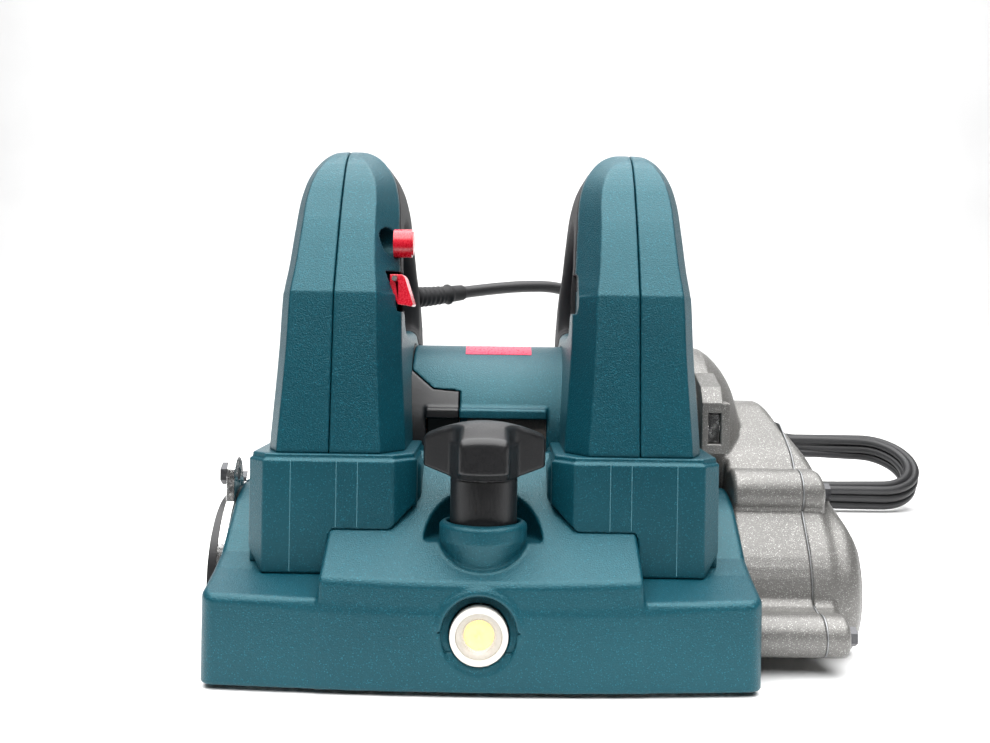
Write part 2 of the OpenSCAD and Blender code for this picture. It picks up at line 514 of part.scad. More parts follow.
module guard_bolts() { color([0.45, 0.43, 0.4]) { for (p = guard_bolt_at) { xcyl(-130.2, -125.7, p[0], p[1], 3, 32); xcyl(-134, -130.05, p[0], p[1], 5.6, 6); }
  xcyl(-128, -125.1, -60, 22, 2.6, 32); } }
module dust_outlet() {
  color([0.1, 0.1, 0.11]) difference() {
    union() { ycyl(107, 140, 0, 29, 17.1); ycyl(116.2, 119.2, 0, 29, 23.5); ycyl(134, 137, 0, 29, 17.8); }
    ycyl(100, 145, 0, 29, 14.5);
    box(-30, 30, 100, 150, -10, 10.4);
  }
}

// --- cord ---------------------------------------------------------------------
cord_route = [[-16.2, 106.5, 181.8], [-6, 115, 183.5], [8, 125, 185.5], [24, 134, 187], [40, 142, 187], [54, 150, 184], [66, 159, 177], [76, 168, 165], [84, 178, 149], [90, 188, 129], [94, 198, 106], [97, 208, 82], [100, 220, 58], [104, 235, 36], [110, 252, 19], [120, 271, 8.5], [134, 290, 5], [150, 307, 4.2], [168, 322, 4.2], [186, 338, 4.2], [204, 354, 4.4], [222, 369, 4.8], [233, 377.2, 5.3], [242.6, 383.6, 6]];
hank_c = [302, 428]; hank_l = 176; hank_w = 86; hank_t = 26; hank_tilt = 30; 
module strain_relief() {
  color([0.06, 0.06, 0.07]) hull() { translate([-43, 84, 178]) sphere(r = 5.6, $fn = 24); translate([-28.5, 96.2, 179.8]) sphere(r = 5.2, $fn = 24); }
  color([0.06, 0.06, 0.07]) hull() { translate([-28.5, 96.2, 179.8]) sphere(r = 5.8, $fn = 24); translate([-20, 103.3, 181.2]) sphere(r = 4.4, $fn = 24); }
}
module power_cord() { color([0.05, 0.05, 0.06]) tube(cord_route, cord_d, 10); }
module hank_2d(w) { hull() for (s = [-1, 1]) translate([s * (hank_l - hank_w) / 2, 0]) circle(r = w / 2, $fn = 48); }
module hank_at() { translate([hank_c[0], hank_c[1], 0]) rotate([hank_tilt, 0, 0]) translate([0, 0, hank_w / 2 * 0]) children(); }
module cord_hank() {
  color([0.05, 0.05, 0.06]) translate([hank_c[0], hank_c[1], 22]) rotate([hank_tilt, 0, 0]) difference() {
    linear_extrude(hank_t) hank_2d(hank_w);
    translate([0, 0, -1]) linear_extrude(hank_t + 2) hull() for (s = [-1, 1]) translate([s * (hank_l - hank_w) / 2, 0]) circle(r = 17, $fn = 32);
  }
}
module cord_tie() { color([0.02, 0.02, 0.02]) translate([hank_c[0] - 34, hank_c[1], 22]) rotate([hank_tilt, 0, 0]) difference() { translate([-3.5, -hank_w / 2 - 2, -0.9]) cube([7, hank_w / 2 - 14, hank_t + 1.8]); translate([-5, -hank_w / 2 - 0.05, -0.05]) cube([10, hank_w / 2 - 16.9, hank_t + 0.1]); } }
module plug() {
  color([0.05, 0.05, 0.06]) translate([130, 455, 12]) {
    hull() { translate([-14, 0, 0]) cylinder(h = 22, r = 11, center = true, $fn = 32); translate([14, 0, 0]) cylinder(h = 20, r = 9, center = true, $fn = 32); }
    rotate([0, 90, 0]) cylinder(h = 38, r1 = 8, r2 = 4.6, $fn = 32);
  }
  color([0.8, 0.75, 0.5]) translate([130, 455, 12]) for (s = [-1, 1]) translate([-43, s * 6.4 - 0.8, -3]) cube([20, 1.6, 6]);
}

at_frame() chassis();
at_frame() front_cover();
at_frame() rear_cover();
at_frame() left_pedestal();
at_frame() right_pedestal();
at_frame() left_handle_outer_shell();
at_frame() left_handle_inner_shell();
at_frame() right_handle_inner_shell();
at_frame() right_handle_outer_shell();
at_frame() left_grip();
at_frame() right_grip();
at_frame() handle_screws();
at_frame() trigger();
at_frame() trigger_pin();
at_frame() lock_button();
at_frame() switch_body();
at_frame() motor_housing();
at_frame() motor_end_cover();
at_frame() motor_stripe();
at_frame() stator();
at_frame() carbon_brushes();
at_frame() motor_bearings();
at_frame() { armature_shaft(); color([0.6, 0.58, 0.5]) pinion_teeth(); }
at_frame() armature_core();
at_frame() commutator();
at_frame() cooling_fan();
at_frame() gear_case_inner();
at_frame() gear_case_cover();
at_frame() gear_case_gasket();
at_frame() gear_case_bolts();
at_frame() neck_bracket();
at_frame() bracket_bolt();
at_frame() idler_gear();
at_frame() idler_shaft();
at_frame() idler_bearings();
at_frame() drum_gear();
at_frame() drum_body();
at_frame() blades();
at_frame() blade_clamps();
at_frame() blade_screws();
at_frame() drum_bearings();
at_frame() left_side_plate();
at_frame() side_guard();
at_frame() guard_bolts();
at_frame() rear_shoe();
at_frame() front_shoe();
at_frame() depth_knob();
at_frame() depth_spindle();
at_frame() depth_spring();
at_frame() led_bezel();
at_frame() led_lens();
at_frame() led_chip();
at_frame() dust_outlet();
at_frame() strain_relief();
at_frame() power_cord();
at_frame() cord_hank();
at_frame() cord_tie();
at_frame() plug();
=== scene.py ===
import bpy, bmesh, math, json
import numpy as np
import openvdb as vdb
from mathutils import Vector, Matrix


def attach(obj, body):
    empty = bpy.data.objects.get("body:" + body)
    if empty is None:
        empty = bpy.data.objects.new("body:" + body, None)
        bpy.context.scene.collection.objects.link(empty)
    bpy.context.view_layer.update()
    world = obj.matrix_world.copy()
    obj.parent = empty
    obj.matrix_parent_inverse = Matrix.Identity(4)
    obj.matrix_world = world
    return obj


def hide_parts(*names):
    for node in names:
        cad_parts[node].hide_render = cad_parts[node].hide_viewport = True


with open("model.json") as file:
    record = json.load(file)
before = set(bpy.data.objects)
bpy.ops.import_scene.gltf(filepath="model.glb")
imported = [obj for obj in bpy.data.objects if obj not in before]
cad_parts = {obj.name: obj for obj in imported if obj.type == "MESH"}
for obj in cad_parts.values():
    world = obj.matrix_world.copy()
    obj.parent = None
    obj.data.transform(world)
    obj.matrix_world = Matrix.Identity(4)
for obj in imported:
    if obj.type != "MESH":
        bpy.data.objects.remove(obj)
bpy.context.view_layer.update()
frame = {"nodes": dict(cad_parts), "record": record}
nodes = frame["nodes"]
SY = 78.0            # the drum axis lies this far in front of the origin, mm
H = 0.7   # cell size of the sculpted shells, mm


def F(x, y, z):
    """A point in millimetres, measured from the drum axis, in the row frame in metres."""
    return (x / 1000.0, (y - SY) / 1000.0, z / 1000.0)


scene = bpy.context.scene
COL = bpy.context.collection


def link(o):
    if o.name not in COL.objects:
        COL.objects.link(o)
    return o


# ------------------------------------------------------------------ camera
cam_data = bpy.data.cameras.new("cam")
cam = bpy.data.objects.new("cam", cam_data)
link(cam)
cam_data.sensor_width = 36.0
cam_data.lens = 39.25
cam_data.shift_x = -0.0025
cam_data.shift_y = -0.0505
cam_data.clip_start = 0.02
cam.location = F(5.1, -565, 164)
cam.rotation_euler = (Matrix.Rotation(math.radians(0.85), 4, Vector((0, -1, 0))) @ Matrix.Rotation(math.radians(90), 4, 'X')).to_euler()
scene.camera = cam

# ------------------------------------------------------------------ cord
CORD_D = 7.6
route = [(-18, 105, 181.5), (-6, 115, 183.5), (8, 125, 185.5), (24, 134, 187), (40, 142, 187), (54, 150, 184), (66, 159, 177), (76, 168, 165), (84, 178, 149), (90, 188, 129), (94, 198, 106), (97, 208, 82), (100, 220, 58), (104, 235, 36), (110, 252, 19), (120, 271, 8.5), (134, 290, 5), (150, 307, 4.2), (168, 322, 4.2), (186, 338, 4.2), (202, 352, 4.3), (217, 365, 4.6), (230, 375.5, 5.0), (243, 384.5, 5.6)]
HC, HL, HW, HT, TILT = (302.0, 428.0), 176.0, 86.0, 26.0, math.radians(30)
tail = []


def hank_pt(u, v, w):
    return (HC[0] + u, HC[1] + v * math.cos(TILT) - w * math.sin(TILT), 22.0 + v * math.sin(TILT) + w * math.cos(TILT))


def smooth_path(pts, step):
    """Catmull-Rom curve through the points, resampled to an even step."""
    P = [np.array(p, float) for p in pts]
    P = [2 * P[0] - P[1]] + P + [2 * P[-1] - P[-2]]
    out = []
    for i in range(1, len(P) - 2):
        p0, p1, p2, p3 = P[i - 1:i + 3]
        for k in range(24):
            t = k / 24.0
            out.append(0.5 * ((2 * p1) + (-p0 + p2) * t + (2 * p0 - 5 * p1 + 4 * p2 - p3) * t * t + (-p0 + 3 * p1 - 3 * p2 + p3) * t ** 3))
    out.append(P[-2])
    A = np.array(out)
    seg = np.linalg.norm(np.diff(A, axis=0), axis=1)
    s = np.concatenate([[0], np.cumsum(seg)])
    n = max(2, int(round(s[-1] / step)))
    q = np.linspace(0, s[-1], n + 1)
    return np.stack([np.interp(q, s, A[:, k]) for k in range(3)], 1), s[-1]


# the turns of the hank: (distance from the middle line, height in the bundle)
lay = [(38.8, 4.2), (31.0, 4.6), (38.6, 12.4), (30.6, 12.8), (23.2, 5.2), (24.0, 13.4), (35.0, 20.6)]
NT = 5
cells = [lay[0], lay[1], lay[3], lay[2], (32.5, 20.8), (38.0, 20.0)]
half = (HL - HW) / 2.0
turn_pts = []
SEG = 40
for n in range(NT):
    a, b = cells[n], cells[n + 1]
    for k in range(SEG):
        t = k / SEG
        e = min(1.0, max(0.0, (t - 0.35) / 0.6))
        e = e * e * (3 - 2 * e)
        r = a[0] + (b[0] - a[0]) * e
        w = a[1] + (b[1] - a[1]) * e
        # wander a little, so the turns are not perfect copies
        r += 0.35 * math.sin(6.28 * t * 2 + n * 1.7)
        w += 0.3 * math.sin(6.28 * t * 3 + n * 2.3)
        per = 4 * half + 2 * math.pi * r
        s = t * per
        if s < 2 * half:
            u, v = -half + s, -r
        elif s < 2 * half + math.pi * r:
            g = (s - 2 * half) / r
            u, v = half + r * math.sin(g), -r * math.cos(g)
        elif s < 4 * half + math.pi * r:
            u, v = half - (s - 2 * half - math.pi * r), r
        else:
            g = (s - 4 * half - math.pi * r) / r
            u, v = -half - r * math.sin(g), r * math.cos(g)
        turn_pts.append(hank_pt(u, v, w))
# the last quarter: along the front, round the right end, back and out over the left end
last = []
r, w = cells[-1]
for k in range(30):
    t = k / 30.0
    s = t * (4 * half + 1.0 * math.pi * r - 8)
    if s < 2 * half:
        u, v = -half + s, -r
    elif s < 2 * half + math.pi * r:
        g = (s - 2 * half) / r
        u, v = half + r * math.sin(g), -r * math.cos(g)
    elif s < 4 * half + math.pi * r:
        u, v = half - (s - 2 * half - math.pi * r), r
    else:
        g = (s - 4 * half - math.pi * r) / r
        u, v = -half - r * math.sin(g), r * math.cos(g)
    last.append(hank_pt(u, v, w))
tail = [(243, 455, 46), (228, 459.5, 40), (213, 461.5, 31), (199, 460, 22.5), (186, 457.4, 16), (175, 455.6, 12.8), (167, 455, 12)]
whole = route + [p for p in turn_pts[2:]] + last + tail
path, length_mm = smooth_path(whole, 4.0)
path[:, 2] = np.maximum(path[:, 2], CORD_D / 2 + 0.1)
length_mm = float(np.linalg.norm(np.diff(path, axis=0), axis=1).sum())
print("cord length mm", round(length_mm, 1))


def curve_obj(name, pts, radius, res=5):
    cu = bpy.data.curves.new(name, 'CURVE')
    cu.dimensions = '3D'
    sp = cu.splines.new('POLY')
    sp.points.add(len(pts) - 1)
    for i, p in enumerate(pts):
        sp.points[i].co = (*F(*p), 1)
    cu.bevel_depth = radius / 1000.0
    cu.bevel_resolution = res
    cu.use_fill_caps = True
    for s in cu.splines:
        s.use_smooth = True
    return link(bpy.data.objects.new(name, cu))


cord = curve_obj("cord_sheath", path, CORD_D / 2)
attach(cord, "planer")
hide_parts("power_cord", "cord_hank")

# ------------------------------------------------------------------ materials
ALL_MATS = {}


def new_mat(name):
    m = bpy.data.materials.new(name)
    m.use_nodes = True
    nt = m.node_tree
    b = nt.nodes["Principled BSDF"]
    ALL_MATS[name] = m
    return m, nt, b


def node(nt, typ, **kw):
    n = nt.nodes.new(typ)
    for k, v in kw.items():
        setattr(n, k, v)
    return n


def coords(nt, scale=1.0):
    tc = node(nt, 'ShaderNodeTexCoord')
    return tc.outputs['Object']


def noise(nt, vec, scale, detail=2.0, rough=0.5, dist=0.0):
    n = node(nt, 'ShaderNodeTexNoise')
    n.inputs['Scale'].default_value = scale
    n.inputs['Detail'].default_value = detail
    n.inputs['Roughness'].default_value = rough
    n.inputs['Distortion'].default_value = dist
    nt.links.new(vec, n.inputs['Vector'])
    return n.outputs['Fac']


def ramp(nt, fac, stops):
    r = node(nt, 'ShaderNodeValToRGB')
    r.color_ramp.elements[0].position = stops[0][0]
    r.color_ramp.elements[0].color = (*stops[0][1], 1)
    r.color_ramp.elements[1].position = stops[1][0]
    r.color_ramp.elements[1].color = (*stops[1][1], 1)
    for pos, c in stops[2:]:
        e = r.color_ramp.elements.new(pos)
        e.color = (*c, 1)
    nt.links.new(fac, r.inputs['Fac'])
    return r.outputs['Color']


def mrange(nt, fac, a, b, c, d):
    m = node(nt, 'ShaderNodeMapRange')
    m.inputs['From Min'].default_value = a
    m.inputs['From Max'].default_value = b
    m.inputs['To Min'].default_value = c
    m.inputs['To Max'].default_value = d
    nt.links.new(fac, m.inputs['Value'])
    return m.outputs['Result']


def bump(nt, h, strength, dist, prev=None):
    b = node(nt, 'ShaderNodeBump')
    b.inputs['Strength'].default_value = strength
    b.inputs['Distance'].default_value = dist
    nt.links.new(h, b.inputs['Height'])
    if prev is not None:
        nt.links.new(prev, b.inputs['Normal'])
    return b.outputs['Normal']


def math2(nt, op, a, b):
    m = node(nt, 'ShaderNodeMath', operation=op)
    for i, v in enumerate((a, b)):
        if isinstance(v, (int, float)):
            m.inputs[i].default_value = v
        else:
            nt.links.new(v, m.inputs[i])
    return m.outputs[0]


def grain_mat(name, c0, c1, rough=(0.4, 0.5), g=(1500, 0.5, 0.00012), g2=None, metallic=0.0, spec=0.5, cloud=(14, 0.0), coat=0.0, speck=None, sheen=0.0):
    """Moulded or cast surface: two close colours mottled, a fine grain in bump and roughness, optional bright specks."""
    m, nt, b = new_mat(name)
    v = coords(nt)
    cl = noise(nt, v, cloud[0], 3, 0.55)
    fine = noise(nt, v, g[0], 2, 0.6)
    mixf = math2(nt, 'ADD', math2(nt, 'MULTIPLY', cl, 0.55), math2(nt, 'MULTIPLY', fine, 0.45))
    col = ramp(nt, mixf, [(0.36, c0), (0.64, c1)])
    if speck:
        vo = node(nt, 'ShaderNodeTexVoronoi')
        vo.inputs['Scale'].default_value = speck[0]
        nt.links.new(v, vo.inputs['Vector'])
        sep = node(nt, 'ShaderNodeSeparateColor')
        nt.links.new(vo.outputs['Color'], sep.inputs[0])
        f = mrange(nt, sep.outputs[0], speck[1], 1.0, 0.0, 1.0)
        mx = node(nt, 'ShaderNodeMix', data_type='RGBA')
        nt.links.new(f, mx.inputs[0])
        nt.links.new(col, mx.inputs[6])
        mx.inputs[7].default_value = (*speck[2], 1)
        col = mx.outputs[2]
    nt.links.new(col, b.inputs['Base Color'])
    nt.links.new(mrange(nt, fine, 0.3, 0.7, rough[0], rough[1]), b.inputs['Roughness'])
    n1 = bump(nt, fine, g[1], g[2])
    if g2:
        n1 = bump(nt, noise(nt, v, g2[0], 3, 0.5), g2[1], g2[2], n1)
    nt.links.new(n1, b.inputs['Normal'])
    b.inputs['Metallic'].default_value = metallic
    b.inputs['Specular IOR Level'].default_value = spec
    if coat:
        b.inputs['Coat Weight'].default_value = coat
        b.inputs['Coat Roughness'].default_value = 0.25
    return m


M_TEAL = grain_mat("teal_moulding", (0.0009, 0.036, 0.053), (0.0026, 0.052, 0.073), rough=(0.28, 0.44), g=(1500, 0.85, 0.00030), g2=(120, 0.05, 0.0003), spec=0.6, speck=(2600, 0.90, (0.010, 0.115, 0.160)))
tb = M_TEAL.node_tree.nodes["Principled BSDF"]
tb.inputs['Specular Tint'].default_value = (0.50, 0.92, 1.0, 1)
M_ALU = grain_mat("cast_silver_paint", (0.13, 0.127, 0.122), (0.19, 0.185, 0.176), rough=(0.32, 0.50), g=(1500, 0.6, 0.00028), g2=(90, 0.10, 0.0005), metallic=0.5, spec=0.5, speck=(3300, 0.87, (0.46, 0.46, 0.44)))
M_BASE = grain_mat("bare_casting", (0.20, 0.205, 0.21), (0.34, 0.345, 0.35), rough=(0.42, 0.6), g=(700, 0.5, 0.0003), metallic=0.7)
M_RUBBER = grain_mat("grip_rubber", (0.012, 0.012, 0.013), (0.026, 0.026, 0.028), rough=(0.55, 0.75), g=(1400, 0.5, 0.0002), spec=0.35)
M_BLACK = grain_mat("black_nylon", (0.005, 0.005, 0.006), (0.012, 0.012, 0.013), rough=(0.32, 0.46), g=(1300, 0.35, 0.00015), g2=(160, 0.08, 0.0003), spec=0.5)
M_CORD = grain_mat("cord_jacket", (0.014, 0.014, 0.015), (0.028, 0.028, 0.030), rough=(0.38, 0.52), g=(900, 0.3, 0.00012), g2=(150, 0.12, 0.0004), spec=0.45)
M_RED = grain_mat("red_switch", (0.55, 0.006, 0.020), (0.72, 0.012, 0.035), rough=(0.22, 0.32), g=(1200, 0.12, 0.00008), spec=0.5, coat=0.3)
M_LABEL = grain_mat("red_stripe_foil", (0.62, 0.02, 0.07), (0.78, 0.05, 0.11), rough=(0.25, 0.35), g=(800, 0.1, 0.00006))
M_STEEL = grain_mat("ground_steel", (0.50, 0.50, 0.49), (0.66, 0.66, 0.65), rough=(0.18, 0.34), g=(600, 0.2, 0.0001), metallic=1.0)
M_DARK = grain_mat("blackened_steel", (0.055, 0.056, 0.06), (0.11, 0.11, 0.115), rough=(0.3, 0.5), g=(700, 0.3, 0.0002), metallic=0.9)
M_GALV = grain_mat("bright_plate", (0.66, 0.66, 0.66), (0.84, 0.84, 0.83), rough=(0.14, 0.30), g=(300, 0.15, 0.0001), metallic=1.0, cloud=(60, 0))
M_BLADE = grain_mat("blade_steel_ground", (0.62, 0.63, 0.65), (0.78, 0.79, 0.81), rough=(0.10, 0.22), g=(900, 0.15, 0.00006), metallic=1.0)
M_SOLE = grain_mat("machined_sole", (0.56, 0.57, 0.58), (0.72, 0.73, 0.74), rough=(0.2, 0.36), g=(350, 0.25, 0.00015), metallic=1.0)
M_COPPER = grain_mat("copper_bars", (0.55, 0.24, 0.10), (0.78, 0.38, 0.18), rough=(0.2, 0.4), g=(500, 0.3, 0.0002), metallic=1.0)
M_IRON = grain_mat("laminations", (0.10, 0.09, 0.085), (0.20, 0.17, 0.15), rough=(0.4, 0.6), g=(900, 0.5, 0.0003), metallic=0.7)
M_CARBON = grain_mat("carbon_brush", (0.02, 0.02, 0.02), (0.05, 0.05, 0.05), rough=(0.45, 0.6), g=(900, 0.4, 0.0002))
M_BEZEL = grain_mat("lamp_bezel", (0.74, 0.71, 0.65), (0.84, 0.81, 0.76), rough=(0.18, 0.26), g=(900, 0.08, 0.00005), coat=0.4)
M_LED = grain_mat("led_phosphor", (0.95, 0.62, 0.01), (1.0, 0.72, 0.03), rough=(0.35, 0.5), g=(1600, 0.3, 0.0002))
bl = M_LED.node_tree.nodes["Principled BSDF"]
bl.inputs['Emission Color'].default_value = (1.0, 0.66, 0.02, 1)
bl.inputs['Emission Strength'].default_value = 0.45

m, nt, b = new_mat("lens_acrylic")
v = coords(nt)
nt.links.new(mrange(nt, noise(nt, v, 300, 2, 0.5), 0.3, 0.7, 0.03, 0.10), b.inputs['Roughness'])
b.inputs['Base Color'].default_value = (0.95, 0.95, 0.93, 1)
b.inputs['Alpha'].default_value = 0.22
b.inputs['IOR'].default_value = 1.45
M_LENS = m

SLOT_MAT = {"teal_plastic": M_TEAL, "cast_aluminium": M_ALU, "base_casting": M_BASE, "sole_plate": M_SOLE, "black_rubber": M_RUBBER, "black_plastic": M_BLACK, "red_plastic": M_RED, "steel": M_STEEL, "dark_steel": M_DARK, "blade_steel": M_BLADE, "copper": M_COPPER, "lamination": M_IRON, "carbon": M_CARBON, "bezel_white": M_BEZEL, "lens_clear": M_LENS, "led_yellow": M_LED, "red_label": M_LABEL, "cord_rubber": M_CORD, "galvanised": M_GALV}


def set_mat(o, m):
    o.data.materials.clear()
    o.data.materials.append(m)


set_mat(cord, M_CORD)
NODE_SLOT = {s["node"]: s["material_slot"] for s in frame["record"]["subparts"]}

# ------------------------------------------------------------------ signed-distance tools
def poly2(px, py, pts):
    """Signed distance to a closed polygon, on 2D grids."""
    d = np.full(np.broadcast(px, py).shape, 1e9, np.float32)
    inside = np.zeros(d.shape, bool)
    n = len(pts)
    for i in range(n):
        ax, ay = pts[i]
        bx, by = pts[(i + 1) % n]
        ex, ey = bx - ax, by - ay
        L = ex * ex + ey * ey
        if L < 1e-9:
            continue
        wx, wy = px - ax, py - ay
        t = np.clip((wx * ex + wy * ey) / L, 0, 1)
        dx, dy = wx - ex * t, wy - ey * t
        d = np.minimum(d, dx * dx + dy * dy)
        c = (ay <= py) != (by <= py)
        if ey != 0:
            xi = ax + (py - ay) * ex / ey
            inside ^= c & (px < xi)
    d = np.sqrt(d)
    return np.where(inside, -d, d).astype(np.float32)


def chaikin(pts, sharp=(), it=2):
    pts = [tuple(p) for p in pts]
    keep = {pts[i] for i in sharp}
    for _ in range(it):
        out = []
        n = len(pts)
        for i in range(n):
            p = pts[i]
            if p in keep:
                out.append(p)
                continue
            a, c = pts[i - 1], pts[(i + 1) % n]
            out.append((p[0] * 0.75 + a[0] * 0.25, p[1] * 0.75 + a[1] * 0.25))
            out.append((p[0] * 0.75 + c[0] * 0.25, p[1] * 0.75 + c[1] * 0.25))
        pts = out
    return pts


def rmax(a, b, r):
    """Intersection with a rounded edge."""
    if r <= 0:
        return np.maximum(a, b)
    u, v = np.maximum(a + r, 0), np.maximum(b + r, 0)
    return np.minimum(np.maximum(a, b), -r) + np.sqrt(u * u + v * v)


def rmin(a, b, r):
    """Union with a filleted corner."""
    if r <= 0:
        return np.minimum(a, b)
    u, v = np.maximum(r - a, 0), np.maximum(r - b, 0)
    return np.maximum(np.minimum(a, b), r) - np.sqrt(u * u + v * v)


def cham(a, b, c, r=0.8):
    return rmax(rmax(a, b, 0), (a + b + c) * 0.70710678, r)


class G:
    """A grid of points in millimetres: open axes x, y, z, and 2D helpers."""
    def __init__(self, lo, hi, h=None):
        self.h = h or H
        self.lo = np.array([math.floor(v / self.h) * self.h - 3 * self.h for v in lo])
        n = [int(math.ceil((hi[i] - self.lo[i]) / self.h)) + 4 for i in range(3)]
        ax = [np.float32(self.lo[i]) + np.arange(n[i], dtype=np.float32) * np.float32(self.h) for i in range(3)]
        self.x, self.y, self.z = ax[0][:, None, None], ax[1][None, :, None], ax[2][None, None, :]
        self.ax = ax

    def xz(self, pts):
        X, Z = np.meshgrid(self.ax[0], self.ax[2], indexing='ij')
        return poly2(X, Z, pts)[:, None, :]

    def yz(self, pts):
        Y, Z = np.meshgrid(self.ax[1], self.ax[2], indexing='ij')
        return poly2(Y, Z, pts)[None, :, :]

    def xy(self, pts):
        X, Y = np.meshgrid(self.ax[0], self.ax[1], indexing='ij')
        return poly2(X, Y, pts)[:, :, None]

    def xcyl(self, y, z, r):
        return np.sqrt((self.y - y) ** 2 + (self.z - z) ** 2) - r

    def zcyl(self, x, y, r):
        return np.sqrt((self.x - x) ** 2 + (self.y - y) ** 2) - r

    def ycyl(self, x, z, r):
        return np.sqrt((self.x - x) ** 2 + (self.z - z) ** 2) - r

    def slab(self, a, lo, hi):
        return np.abs(a - (lo + hi) / 2) - (hi - lo) / 2

    def box(self, x0, x1, y0, y1, z0, z1, r=0.0):
        return rmax(rmax(self.slab(self.x, x0, x1), self.slab(self.y, y0, y1), r), self.slab(self.z, z0, z1), r)

    def mesh(self, name, d, mirror=False, adapt=0.0, tidy=0.35):
        d = np.ascontiguousarray(np.broadcast_to(d, (self.x.shape[0], self.y.shape[1], self.z.shape[2])), dtype=np.float32)
        lim = 3.5 * self.h
        g = vdb.FloatGrid(lim)
        g.copyFromArray(np.clip(d, -lim, lim))
        pts, tris, quads = g.convertToPolygons(0.0, adapt)
        pts = np.asarray(pts, float) * self.h + self.lo[None, :]
        if mirror:
            pts[:, 0] *= -1
        co = np.stack([pts[:, 0] / 1000, (pts[:, 1] - SY) / 1000, pts[:, 2] / 1000], 1)
        faces = [tuple(int(i) for i in f) for f in quads] + [tuple(int(i) for i in f) for f in tris]
        me = bpy.data.meshes.new(name)
        me.from_pydata(co.tolist(), [], faces)
        me.update()
        o = link(bpy.data.objects.new(name, me))
        bm = bmesh.new()
        bm.from_mesh(me)
        bmesh.ops.recalc_face_normals(bm, faces=bm.faces)
        if bm.calc_volume(signed=True) < 0:
            bmesh.ops.reverse_faces(bm, faces=bm.faces)
        bm.to_mesh(me)
        bm.free()
        for p in me.polygons:
            p.use_smooth = True
        return o


def finish_piece(o, body, slot, *cad):
    set_mat(o, SLOT_MAT[slot])
    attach(o, body)
    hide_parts(*cad)
    return o


def thin(o, ratio=0.35, angle=None):
    """Fewer faces on the flat stretches."""
    md = o.modifiers.new("thin", 'DECIMATE')
    md.ratio = ratio
    md.use_collapse_triangulate = False
    return o


# ------------------------------------------------------------------ outlines, mm from the drum axis
HWID = 125.0
hump = [(50 * math.cos(math.radians(a)), 30 + 50 * math.sin(math.radians(a))) for a in range(124, 92, -4)]
SIDE_TOP = [(-140, -60), (-140, 38), (-95, 38), (-92, 41), (-78, 44.5), (-65, 48), (-51.5, 53), (-42, 61)] + hump + [(-6, 79.5), (60, 80), (60, -60)]
MID_TOP = [(-140, -60), (-140, 49), (-95, 49), (-70, 67), (-27, 99), (-22, 99), (-22, -60)]
LED_X, LED_Z = -1.0, 26.5
KY = -72.0
MY, MZ = 45.0, 100.0


def cover_solid(g, grow=0.0):
    bow = np.sqrt(g.x ** 2 + (g.y - (1305 - 95)) ** 2) - 1305
    ends = rmax(np.abs(g.x) - HWID, bow, 6.5)
    side = rmax(ends, g.yz(SIDE_TOP), 3.2)
    # the mid step has sloping ends: wider at the front face than at its top
    wid = np.abs(g.x + 0.3) - (71.5 + (50 - g.z) * 0.04)
    mid = rmax(rmax(wid, bow, 2.2), g.yz(MID_TOP), 2.0)
    return rmin(side, mid, 1.6) - grow


